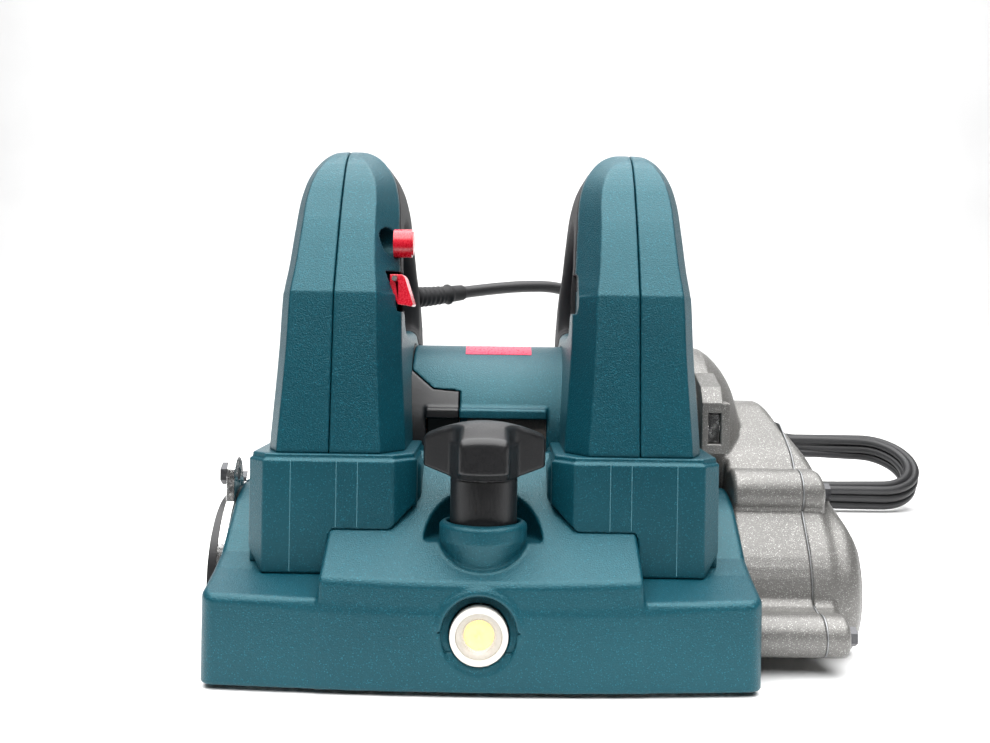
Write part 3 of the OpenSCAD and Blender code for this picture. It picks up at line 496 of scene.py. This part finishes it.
def build_front_cover():
    g = G((-127, -97, 0), (127, -3, 102))
    base = cover_solid(g)
    # scoop round the knob, then the cup that carries it
    scoop = rmax(g.zcyl(0, KY - 1, 27.0), 63.5 - g.z - (g.y - KY) * 0.05, 1.5)
    d = rmax(base, -scoop, 0.7)
    cone = (np.sqrt(g.x ** 2 + (g.y - (KY - 2.6)) ** 2) - (20.0 - np.clip(66 - g.z, 0, 22) * 0.42 - np.clip(56 - g.z, 0, 12) * 0.25)) * 0.92
    cup = rmax(cone, g.z - 73.6, 2.2)
    d = rmin(d, rmax(cup, -(g.z - 44), 1), 2.6)
    d = rmax(d, -rmax(g.zcyl(0, KY, 16.6), 70.6 - g.z, 0), 1.0)
    # lamp pocket: a dished seat, deep above the lamp and fading out below it, with a raised hood
    dr = np.sqrt((g.x - LED_X) ** 2 + (g.z - LED_Z - 1.0) ** 2)
    hood = np.sqrt((dr - 17.9) ** 2 + (g.y + 94.2) ** 2) - (1.9 - np.clip(LED_Z + 4 - g.z, 0, 14) * 0.16)
    d = rmin(d, hood, 1.4)
    outer = d
    dish = rmax(dr - 16.6 - np.clip(LED_Z - g.z, 0, 20) * 0.06, g.y + 95.0 - np.clip(2.6 + (g.z - LED_Z) * 0.20, 0.0, 5.8), 0.6)
    dish = rmax(dish, -(g.y + 99), 0)
    d = rmax(d, -dish, 0.9)
    # hollow below
    inner = outer + 3.2
    shell = np.maximum(d, -inner)
    boss = np.maximum(rmax(g.zcyl(0, KY, 14.0), g.z - 70, 0), 44 - g.z)
    shell = np.minimum(shell, np.maximum(boss, outer + 1.0))
    pod = rmax(g.ycyl(LED_X, LED_Z, 19.5), g.slab(g.y, -93.0, -84), 0.6)
    pod = np.maximum(pod, -dish)
    shell = np.minimum(shell, np.maximum(pod, outer + 0.5))
    shell = np.maximum(shell, -np.maximum(g.ycyl(LED_X, LED_Z, 13.35), g.y + 80))
    # spindle hole, side castings, open bottom and back
    shell = np.maximum(shell, -g.zcyl(0, KY, 8.2))
    for s in (-1, 1):
        xx = g.x * s
        wall = np.maximum(np.maximum(113.6 - xx, xx - 126), np.minimum(np.maximum(-60.4 - g.y, g.z - 46), g.xcyl(0, 30, 46.6)))
        shell = np.maximum(shell, -wall)
    shell = np.maximum(shell, -np.maximum(g.xcyl(0, 30, 37.6), np.abs(g.x) - 114))
    shell = rmax(shell, 2.0 - g.z, 0.8)
    shell = rmax(shell, g.y + 6.0, 0.6)
    # parting-line nicks beside the lamp
    for x0, x1 in ((-19.2, -15.4), (13.4, 17.4)):
        nick = g.box(x0, x1, -97, -94.4, LED_Z + 1.2, LED_Z + 2.0, 0.2)
        shell = np.maximum(shell, -nick)
    return finish_piece(g.mesh("front_cover_moulding", shell, adapt=0.0), "planer", "teal_plastic", "front_cover")


PED_PLAN = [(41.5, -70), (101.5, -70), (109.5, -62), (109.5, 100), (101.5, 108), (39.5, 108), (31.5, 100), (31.5, -60)]


def build_pedestals():
    g = G((29, -72, 42), (112, 110, 104))
    plan = g.xy(PED_PLAN)
    front = rmax(plan, g.z - 99.4, 0.5)
    cap = rmax(rmax(plan + 1.4, g.z - 102.0, 0.4), 97 - g.z, 0)
    # side layer: bulges a little behind the front plate
    lay2 = rmax(rmax(rmax(np.abs(g.x - 70.5) - 40.6, g.slab(g.y, -57, 101), 6), g.z - 97.5, 4), -(g.z - 40), 0)
    d = rmin(np.minimum(front, lay2), cap, 0.4)
    # cut corners at the foot
    foot = ((g.x - 109.5) * 0.8 + (54.0 - g.z) * 0.6) + 2.0
    d = rmax(d, np.where(g.y < -60, foot, -9.0), 0.6)
    foot2 = ((33.5 - g.x) * 0.62 + (78.0 - g.z) * 0.62) - 0.5
    d = rmax(d, np.where(g.y < -58, foot2, -9.0), 0.6)
    inner = np.maximum(plan + 3.4, g.z - 98.2)
    d = np.maximum(d, -inner)
    cov = cover_solid(g, 0.25)
    cov = np.maximum(cov, g.y + 5.8)
    d = np.maximum(d, -cov)
    back = np.maximum(-22.5 - g.y, g.z - 48.3)
    d = np.maximum(d, -back)
    d = np.maximum(d, -g.xcyl(0, 30, 50.4))
    d = rmax(d, -np.maximum(g.xcyl(MY, MZ, 50.8), g.x - 300), 0.8)
    d = np.maximum(d, -np.maximum(g.xcyl(MY, MZ, 52.0), 103 - g.x))
    d = np.maximum(d, g.y - 19.9)
    for side, mir in (("right", False), ("left", True)):
        finish_piece(g.mesh(side + "_pedestal_moulding", d, mirror=mir), "planer", "teal_plastic", side + "_pedestal")


FRONT_HALF = [(32.4, 102), (30.8, 126), (29.3, 149), (28.6, 177), (27, 189.27), (26.4, 201.53), (25.5, 214.51), (25, 221.45), (23.8, 228.1), (22.2, 234.23), (18.7, 241.38), (12.8, 247.93), (5, 250.89)]
front_poly = [(70 + x, z) for x, z in [(32.6, 90)] + FRONT_HALF] + [(70 - x, z) for x, z in reversed([(32.6, 90)] + FRONT_HALF)]
front_poly = chaikin(front_poly, sharp=(0, len(front_poly) - 1), it=2)
side_raw = [(-67.6, 90), (-67, 102), (-59, 177), (-45, 208.68), (-38, 220.94), (-30, 234.23), (-19, 246.49), (-4, 251.6), (14, 251.6), (46, 241.38), (76, 220.94), (96, 196.42), (104, 172), (106, 150), (106, 90)]
side_poly = chaikin(side_raw, sharp=(0, 1, 2, 14), it=2)
eye_poly = chaikin([(-22, 157), (-22, 178), (-8, 204), (8, 215), (28, 214), (50, 202), (64, 184), (68, 166), (66, 157)], it=2)
GRIP_ZONE = [(-37, 165), (-36.0, 184), (-26.5, 207), (-20, 220), (-11, 233), (0, 241.5), (14, 246), (30, 262), (60, 260), (120, 222), (120, 140), (80, 150), (60, 150), (46, 165)]
grip_poly = chaikin(GRIP_ZONE, it=1)


def handle_sdf(g):
    a, b = g.xz(front_poly), g.yz(side_poly)
    d = rmax(a, b, 0)
    z = g.z
    yf = np.where(z < 177, -67.0 + (z - 102) * (8.0 / 75.0), -59 + (z - 177) * 0.46)
    nf = np.where(z < 177, 0.994, 0.908)
    bf = (yf - g.y) * nf
    yb = np.where(z < 160, 106.0, 106 - (z - 160) * 0.75)
    bb = (g.y - yb) * np.where(z < 160, 1.0, 0.8)
    w = np.clip((g.x - 60) / 20.0, 0, 1)
    w = w * w * (3 - 2 * w)
    ka, kb = 10.5 + (6.0 - 10.5) * w, 16.0 + (14.0 - 16.0) * w
    chf = (a / ka + bf / kb + 1) / np.sqrt(1 / ka ** 2 + 1 / kb ** 2)
    chb = (a + bb + 7.0) * 0.70710678
    d = rmax(d, chf, 0.5)
    d = rmax(d, chb, 1.5)
    return d


def build_handles():
    g = G((36, -70, 101), (104, 108, 251.5))
    hs = handle_sdf(g)
    eye = g.yz(eye_poly)
    zone = g.yz(grip_poly)
    body = rmax(hs, -eye, 5.0)
    zone3 = zone
    # rubber skin: slightly proud, with a rounded border
    skin = rmax(rmax(body - 0.25, zone3, 1.0), -(body + 2.4), 0)
    shell = np.maximum(body, -np.maximum(np.maximum(zone3 - 0.5, -(body + 2.2)), -1e3))
    bottom = 102.0 - g.z
    motor = g.xcyl(MY, MZ, 50.8)
    shell = rmax(rmax(shell, bottom, 0.6), -motor, 0.8)
    skin = np.maximum(skin, -motor)
    # recesses for the trigger and the lock button on the inner flank
    trig = np.maximum(np.maximum(g.slab(g.y, -46.8, -25.2), g.slab(g.z, 168.1, 187.5)), g.x - 56)
    lock = np.maximum(np.maximum(g.xcyl(-36, 201.5, 7.4), -(g.y + 43.2)), g.x - 56)
    rim = np.maximum(rmax(g.slab(g.y, -48.3, -23.7), g.slab(g.z, 166.6, 189.0), 2.0), g.x - 60)
    for side, mir in (("right", False), ("left", True)):
        cut_t, cut_l = (trig, lock) if mir else (np.maximum(trig, g.x - 44.0), np.maximum(lock, g.x - 43.4))
        sh = np.maximum(np.maximum(shell, -cut_t), -cut_l)
        sk = np.maximum(np.maximum(skin, -cut_t), -cut_l)
        inner = np.maximum(sh, g.x - 71.84)
        outer = np.maximum(sh, 72.16 - g.x)
        finish_piece(g.mesh(side + "_handle_inner_moulding", inner, mirror=mir), "planer", "teal_plastic", side + "_handle_inner_shell")
        finish_piece(g.mesh(side + "_handle_outer_moulding", outer, mirror=mir), "planer", "teal_plastic", side + "_handle_outer_shell")
        finish_piece(g.mesh(side + "_grip_rubber", sk, mirror=mir), "planer", "black_rubber", side + "_grip")


def build_motor():
    g = G((-62, -10, 48), (105, 97, 152))
    cyl = g.xcyl(MY, MZ, 50.0)
    lip = rmax(rmax(g.slab(g.z, 113.2, 118.8), -(g.y + 8.5), 1.4), g.y - MY, 0)
    lip = rmax(lip, np.abs(g.x) - 31.2, 0.3)
    flat = np.maximum(np.maximum(g.y - 2.0, g.z - 113.4), np.abs(g.x) - 31.3)
    d = rmin(cyl, lip, 2.0)
    d = rmax(d, -flat, 0.8)
    region = g.xz([(-200, 20), (-200, 200), (-40.2, 200), (-40.2, 137.5), (-28, 128), (-14.2, 127), (-14.2, 20)])
    hollow = np.maximum(g.xcyl(MY, MZ, 46.5), 5.4 - g.y - np.clip((np.abs(g.x) - 31) * 9, 0, 60))
    teal = rmax(np.maximum(d, -hollow), -(region - 0.2), 0.5)
    teal = np.maximum(teal, g.x - 103.3)
    teal = np.maximum(teal, -(g.x + 60))
    zz = 0.0
    finish_piece(g.mesh("motor_housing_moulding", teal), "planer", "teal_plastic", "motor_housing")
    g = G((-101, -10, 48), (-13, 97, 152))
    cyl = g.xcyl(MY, MZ, 50.0)
    lip = rmax(rmax(g.slab(g.z, 113.2, 118.8), -(g.y + 8.5), 1.4), g.y - MY, 0)
    lip = rmax(lip, np.abs(g.x) - 31.2, 0.3)
    flat = np.maximum(np.maximum(g.y - 2.0, g.z - 113.4), np.abs(g.x) - 31.3)
    d = rmax(rmin(cyl, lip, 2.0), -flat, 0.8)
    region = g.xz([(-200, 20), (-200, 200), (-40.2, 200), (-40.2, 137.5), (-28, 128), (-14.2, 127), (-14.2, 20)])
    hollow = np.maximum(np.maximum(g.xcyl(MY, MZ, 46.5), 5.4 - g.y - np.clip((np.abs(g.x) - 31) * 9, 0, 60)), -(g.x + 96))
    black = rmax(np.maximum(d, -hollow), region + 0.2, 0.5)
    black = rmax(black, -(g.x + 99), 2.0)
    finish_piece(g.mesh("motor_end_cover_moulding", black), "planer", "black_plastic", "motor_end_cover")


BOSSES = [(-56, 18, 10), (-12, 79, 11.5), (112, 20, 9), (119, 60, 9)]


def hull2(circles):
    pts = []
    for (cy, cz, r) in circles:
        for k in range(48):
            a = 2 * math.pi * k / 48
            pts.append((cy + r * math.cos(a), cz + r * math.sin(a)))
    pts = sorted(set(pts))
    def half(ps):
        out = []
        for p in ps:
            while len(out) >= 2 and (out[-1][0] - out[-2][0]) * (p[1] - out[-2][1]) - (out[-1][1] - out[-2][1]) * (p[0] - out[-2][0]) <= 0:
                out.pop()
            out.append(p)
        return out
    lo, up = half(pts), half(pts[::-1])
    return lo[:-1] + up[:-1]


CASE = hull2([(0, 30, 41), (52, 92, 29), (88, 88, 30), (76, 34, 30), (21, 73.2, 30.6)])
CASE_LOW = hull2([(0, 30, 41), (40, 30, 39), (76, 34, 30)])
EAR = hull2([(-56, 18, 7), (-20, 24, 10)])


def build_gear_case():
    g = G((102, -68, 0), (190, 130, 152))
    case = g.yz(CASE)
    ear = g.yz(EAR)
    floor = 2.0 - g.z
    prof = rmin(case, ear, 4)
    bosses = None
    for (y, z, r) in BOSSES:
        c = g.xcyl(y, z, r)
        bosses = c if bosses is None else np.minimum(bosses, c)
    # inner half
    d = rmin(np.maximum(prof, g.x - 160), np.maximum(bosses, g.x - 160), 2.5)
    d = rmax(d, 125.2 - g.x, 2.5)
    neck_r = np.interp(g.x, [100, 114, 118, 122, 126, 129.5, 132.5, 134.8, 136.8], [51, 51, 50.2, 47.6, 43.8, 39.6, 35.0, 30.5, 25.0]).astype(np.float32)
    neck = (np.sqrt((g.y - MY) ** 2 + (g.z - MZ) ** 2) - neck_r) * 0.8
    neck = rmax(rmax(neck, 103.6 - g.x, 2.0), g.x - 136.8, 1.0)
    d = rmin(d, neck, 3.0)
    slope = (g.x - 154) * 0.887 + (g.z - 122) * 0.4617
    d = rmax(d, slope, 4.0)
    cav = np.maximum(np.maximum(np.maximum(case + 4.2, 6 - g.z), 129.2 - g.x), slope + 4.4)
    d = np.maximum(d, -cav)
    d = np.maximum(d, -np.maximum(g.xcyl(MY, MZ, 46), g.x - 108))
    d = np.maximum(d, -np.maximum(g.xcyl(MY, MZ, 18.6), g.x - 120))
    d = np.maximum(d, -g.xcyl(MY, MZ, 7.2))
    d = np.maximum(d, -np.maximum(g.xcyl(0, 30, 10.2), g.x - 132))
    inner = rmax(rmax(d, floor, 1.5), g.x - 160.1, 0.45)
    o = finish_piece(g.mesh("gear_case_inner_casting", inner), "planer", "cast_aluminium", "gear_case_inner")
    # outer half
    step = rmax(prof, g.x - 172, 4.0)
    up = rmax(case + 3.0, g.x - 180, 10.0)
    drumcap = rmax(g.xcyl(0, 30, 40.5), g.x - 186.4, 9.0)
    cap2 = rmax(g.xcyl(0, 30, 34.0), g.x - 187.2, 1.5)
    d = rmin(rmin(step, up, 3.0), rmin(drumcap, cap2, 0.8), 4.0)
    d = rmin(d, rmax(bosses, g.x - 171.6, 2.5), 2.5)
    d = rmax(d, slope, 4.0)
    d = rmax(d, 160.3 - g.x, 0.45)
    cav = np.maximum(np.maximum(np.maximum(case + 4.2, 6 - g.z), g.x - 168), slope + 4.4)
    d = np.maximum(d, -cav)
    d = rmax(d, floor, 1.5)
    for (y, z, r) in BOSSES:
        d = np.maximum(d, -g.xcyl(y, z, 2.5))
    vent = np.maximum(g.xcyl(-9, 66, 3.2), g.slab(g.x, 157, 163))
    finish_piece(g.mesh("gear_case_cover_casting", d), "planer", "cast_aluminium", "gear_case_cover")


def build_knob():
    g = G((-29, -102, 70), (29, -44, 120), 0.55)
    d0 = rmax(g.zcyl(0, KY, 15.3), 72.2 - g.z, 0.6)
    d0 = rmax(d0, g.z - 108, 0)
    head = None
    lobes = []
    for a in (270, 30, 150):
        ca, sa = math.cos(math.radians(a)), math.sin(math.radians(a))
        u = g.x * ca + (g.y - KY) * sa
        v = -g.x * sa + (g.y - KY) * ca
        w = 10.8 + np.clip(u, 0, 30) * 0.02
        lobe = rmax(rmax(np.abs(v) - w, u - 27.2, 3.0), -(u + 6), 0)
        lobes.append(lobe)
    plan = rmin(rmin(lobes[0], lobes[1], 5.5), lobes[2], 5.5)
    rr = np.sqrt(g.x ** 2 + (g.y - KY) ** 2)
    top = (g.z - (118.6 - (rr / 27.5) ** 2 * 6.4)) * 0.95
    bot = (93.4 + np.clip(rr - 15, 0, 20) * 0.30) - g.z
    head = rmax(rmax(plan, top, 2.6), bot, 0.9)
    d = rmin(d0, head, 1.6)
    d = np.maximum(d, -np.maximum(g.zcyl(0, KY, 5.0), g.z - 100))
    # parting line of the mould round the head
    ring = np.maximum(np.abs(g.z - 93.0) - 0.3, -(g.zcyl(0, KY, 15.0)))
    d = np.maximum(d, -ring)
    finish_piece(g.mesh("depth_knob_moulding", d), "knob", "black_plastic", "depth_knob")


def revolve(name, prof, origin, axis='Y', n=72):
    """A closed ring of (radius, height) points turned about an axis through origin, mm."""
    me = bpy.data.meshes.new(name)
    bm = bmesh.new()
    rings = []
    for k in range(n):
        a = 2 * math.pi * k / n
        ring = []
        for (r, h) in prof:
            c, s = r * math.cos(a), r * math.sin(a)
            p = {'Y': (origin[0] + c, origin[1] + h, origin[2] + s), 'X': (origin[0] + h, origin[1] + c, origin[2] + s), 'Z': (origin[0] + c, origin[1] + s, origin[2] + h)}[axis]
            ring.append(bm.verts.new(F(*p)))
        rings.append(ring)
    m_ = len(prof)
    for k in range(n):
        for j in range(m_):
            a, b_ = rings[k], rings[(k + 1) % n]
            q = [a[j], a[(j + 1) % m_], b_[(j + 1) % m_], b_[j]]
            bm.faces.new(q)
    bmesh.ops.remove_doubles(bm, verts=bm.verts, dist=1e-6)
    bmesh.ops.dissolve_degenerate(bm, edges=bm.edges, dist=1e-7)
    bmesh.ops.recalc_face_normals(bm, faces=bm.faces)
    bm.to_mesh(me)
    bm.free()
    for p in me.polygons:
        p.use_smooth = True
    return link(bpy.data.objects.new(name, me))


def arc(cx, cy, r, a0, a1, n=6):
    return [(cx + r * math.cos(math.radians(a0 + (a1 - a0) * i / n)), cy + r * math.sin(math.radians(a0 + (a1 - a0) * i / n))) for i in range(n + 1)]


def build_lamp():
    # bezel: stepped ring with rounded lips
    prof = [(10.25, 9.5), (10.25, 1.0)] + arc(10.85, 0.55, 0.6, 180, 270, 4) + arc(12.1, 0.75, 0.8, 270, 360, 5) + [(12.9, 1.3), (12.9, 1.5), (12.9, 9.5)]
    o = revolve("lamp_bezel_ring", [(r, h) for r, h in prof], (LED_X, -96.2, LED_Z), 'Y', 96)
    finish_piece(o, "planer", "bezel_white", "led_bezel")
    # inner cup and phosphor disc
    prof = [(0.01, 3.8), (6.5, 3.8)] + arc(6.5, 4.05, 0.25, 270, 360, 2) + [(6.75, 4.4), (6.75, 4.8), (0.01, 4.8)]
    o = revolve("led_phosphor_disc", prof, (LED_X, -96.2, LED_Z), 'Y', 64)
    for dx, dz in ((-3.0, -0.8), (2.6, 1.8)):
        pass
    finish_piece(o, "planer", "led_yellow", "led_chip")
    prof = [(7.4, 2.8), (9.9, 1.4), (10.2, 1.5), (10.2, 7.4), (6.8, 7.4), (6.8, 3.6)]
    o = revolve("led_reflector_cup", prof, (LED_X, -96.2, LED_Z), 'Y', 72)
    set_mat(o, M_BEZEL2)
    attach(o, "planer")
    prof = [(0.01, 2.2), (7.2, 2.2), (7.6, 2.5), (7.6, 2.9), (0.01, 2.9)]
    o = revolve("lamp_lens_disc", prof, (LED_X, -96.2, LED_Z), 'Y', 64)
    finish_piece(o, "planer", "lens_clear", "led_lens")


M_BEZEL2 = grain_mat("lamp_reflector", (0.52, 0.48, 0.42), (0.62, 0.58, 0.52), rough=(0.16, 0.24), g=(700, 0.08, 0.00005), coat=0.3)


def build_relief():
    """Strain relief: a ribbed taper that follows the cord out of the handle."""
    pts = [(-44, 83, 177.8), (-38, 88, 178.4), (-32, 93, 179.2), (-26, 98, 180.1), (-21, 102.4, 181), (-16.5, 106.2, 181.7)]
    P, L = smooth_path(pts, 0.55)
    me = bpy.data.meshes.new("strain_relief_boot")
    bm = bmesh.new()
    N = 28
    rings = []
    n = len(P)
    for i in range(n):
        t = i / (n - 1)
        dirv = Vector(P[min(i + 1, n - 1)] - P[max(i - 1, 0)]).normalized()
        e1 = dirv.cross(Vector((0, 0, 1))).normalized()
        e2 = dirv.cross(e1)
        s = t * L
        r = 6.1 - 1.35 * t
        if s < L * 0.55:
            r += 0.28 * math.cos(2 * math.pi * s / 3.4)
        ring_c = L * 0.66
        r += 1.15 * math.exp(-((s - ring_c) / 1.5) ** 2)
        if t > 0.97:
            r -= 0.5
        rings.append([bm.verts.new(F(*(Vector(P[i]) + r * (math.cos(2 * math.pi * k / N) * e1 + math.sin(2 * math.pi * k / N) * e2)))) for k in range(N)])
    for i in range(n - 1):
        for k in range(N):
            bm.faces.new([rings[i][k], rings[i][(k + 1) % N], rings[i + 1][(k + 1) % N], rings[i + 1][k]])
    bm.faces.new(rings[0][::-1])
    bm.faces.new(rings[-1])
    bmesh.ops.recalc_face_normals(bm, faces=bm.faces)
    bm.to_mesh(me)
    bm.free()
    for p in me.polygons:
        p.use_smooth = True
    o = link(bpy.data.objects.new("strain_relief_boot", me))
    finish_piece(o, "planer", "black_rubber", "strain_relief")
    return o


def build_tie():
    """Twist tie round the front run of the hank."""
    g = G((260, 372, 0), (276, 424, 46), 0.6)
    cu, cv, cw = -34.0, -31.0, 12.5
    ct, st = math.cos(TILT), math.sin(TILT)
    Yc, Zc = g.y - HC[1], g.z - 22.0
    v = Yc * ct + Zc * st
    w = -Yc * st + Zc * ct
    q = rmax(np.abs(v - cv) - 13.2, np.abs(w - cw) - 12.9, 5)
    ring = np.maximum(np.maximum(q, -(q + 1.1)), np.abs(g.x - (HC[0] + cu)) - 3.2)
    o = g.mesh("hank_tie_band", ring)
    return finish_piece(o, "planer", "black_plastic", "cord_tie")


def bevel_cad(name, width=0.6, segs=2, angle=35):
    o = nodes[name]
    w = o.modifiers.new("weld", 'WELD')
    w.merge_threshold = 1e-6
    b_ = o.modifiers.new("bevel", 'BEVEL')
    b_.width = width / 1000.0
    b_.segments = segs
    b_.limit_method = 'ANGLE'
    b_.angle_limit = math.radians(angle)
    b_.harden_normals = False
    wn = o.modifiers.new("wn", 'WEIGHTED_NORMAL')
    wn.keep_sharp = True


relief = build_relief()
tie = build_tie()
build_front_cover()
build_pedestals()
build_handles()
build_motor()
build_gear_case()
build_knob()
build_lamp()

for name, w_ in (("side_guard", 0.6), ("left_side_plate", 0.4), ("guard_bolts", 0.4), ("gear_case_bolts", 0.4), ("neck_bracket", 0.6), ("bracket_bolt", 0.4), ("trigger", 0.4), ("lock_button", 0.4), ("front_shoe", 0.5), ("rear_shoe", 0.5), ("rear_cover", 0.5), ("dust_outlet", 0.6), ("plug", 0.6)):
    bevel_cad(name, w_)

for name, o in nodes.items():
    o.data.materials.clear()
    o.data.materials.append(SLOT_MAT[NODE_SLOT[name]])
    for p in o.data.polygons:
        p.use_smooth = False

# ------------------------------------------------------------------ floor, light, world
def floor_mat():
    m, nt, b = new_mat("studio_floor")
    v = coords(nt)
    c = ramp(nt, noise(nt, v, 3, 2, 0.5), [(0.3, (0.86, 0.86, 0.86)), (0.7, (0.90, 0.90, 0.90))])
    nt.links.new(c, b.inputs['Base Color'])
    b.inputs['Roughness'].default_value = 0.7
    b.inputs['Specular IOR Level'].default_value = 0.2
    return m


me = bpy.data.meshes.new("studio_floor")
bm = bmesh.new()
prof = [(-0.34, 0.0)] + [(2.4 + 1.2 * math.sin(math.radians(a)), 1.2 - 1.2 * math.cos(math.radians(a))) for a in range(0, 91, 6)] + [(3.6, 5.0)]
rows = []
for (y, z) in prof:
    rows.append([bm.verts.new((x, y, z - 0.0004)) for x in (-7.0, 7.0)])
for a_, b_ in zip(rows[:-1], rows[1:]):
    bm.faces.new([a_[0], a_[1], b_[1], b_[0]])
bm.to_mesh(me)
bm.free()
for p in me.polygons:
    p.use_smooth = True
floor = link(bpy.data.objects.new("studio_floor", me))
set_mat(floor, floor_mat())

world = bpy.data.worlds.new("studio")
scene.world = world
world.use_nodes = True
wn = world.node_tree
bg = wn.nodes["Background"]
wtc = wn.nodes.new('ShaderNodeTexCoord')
sepw = wn.nodes.new('ShaderNodeSeparateXYZ')
wn.links.new(wtc.outputs['Generated'], sepw.inputs[0])
wm = wn.nodes.new('ShaderNodeMapRange')
wm.inputs['From Min'].default_value = -0.1
wm.inputs['From Max'].default_value = 0.75
wm.inputs['To Min'].default_value = 0.02
wm.inputs['To Max'].default_value = 0.5
wn.links.new(sepw.outputs['Y'], wm.inputs['Value'])
wn.links.new(wm.outputs['Result'], bg.inputs[1])
bg.inputs[0].default_value = (1.0, 1.0, 1.0, 1)


def area(name, loc, target, size, power, size_y=None, color=(1, 1, 1)):
    l = bpy.data.lights.new(name, 'AREA')
    l.energy = power
    l.size = size
    l.color = color
    if size_y:
        l.shape = 'RECTANGLE'
        l.size_y = size_y
    o = link(bpy.data.objects.new(name, l))
    o.location = loc
    d = Vector(target) - Vector(loc)
    o.rotation_euler = d.to_track_quat('-Z', 'Y').to_euler()
    return o


area("top_box", (0.0, -0.38, 1.25), (0, -0.18, 0.1), 2.0, 76, 2.1)
area("front_fill", (0.0, -2.6, 0.55), (0, 0, 0.1), 1.4, 1.3, 0.8)
area("back_wall", (0.0, 1.5, 2.6), (0, 3.6, 1.0), 3.0, 120, 1.2)


scene.view_settings.view_transform = 'Standard'
scene.view_settings.look = 'None'
scene.view_settings.exposure = 0.0
scene.view_settings.gamma = 1.0
